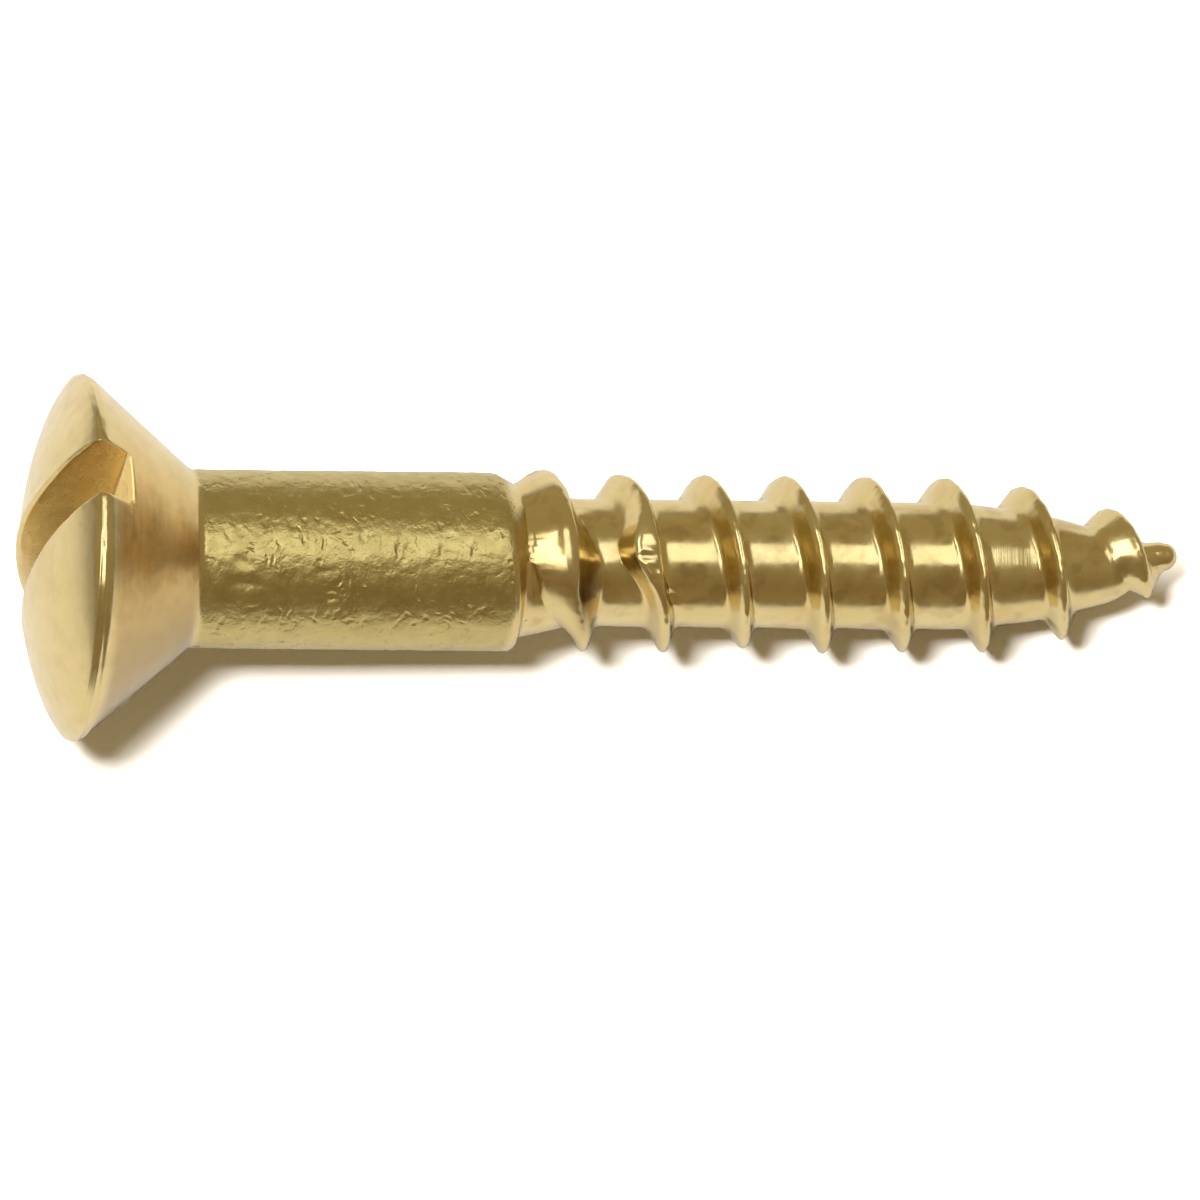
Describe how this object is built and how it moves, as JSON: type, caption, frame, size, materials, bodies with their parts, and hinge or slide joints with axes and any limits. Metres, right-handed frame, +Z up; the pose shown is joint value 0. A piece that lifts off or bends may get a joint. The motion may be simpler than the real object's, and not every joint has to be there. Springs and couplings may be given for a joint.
{
  "type": "slotted oval-head wood screw",
  "caption": "Slotted oval-head brass wood screw with a countersunk head, plain shank, coarse right-hand thread and gimlet point.",
  "frame": {"origin": "centre of the bounding box's underside, on the surface that the screw lies on", "axes": "+Z up; the screw lies on its side with its head towards -X and its point towards +X, and its axis dips 6.1 degrees towards the point because it rests on the head's rim and a thread crest; the driving slot opens towards -X and its length leans 16 degrees from upright towards +Y"},
  "size_m": [0.0266, 0.0084, 0.0084],
  "materials": {
    "brass": "bright drawn brass, lightly marked"
  },
  "bodies": {
    "root": {"screw": "brass"}
  },
  "joints": []
}
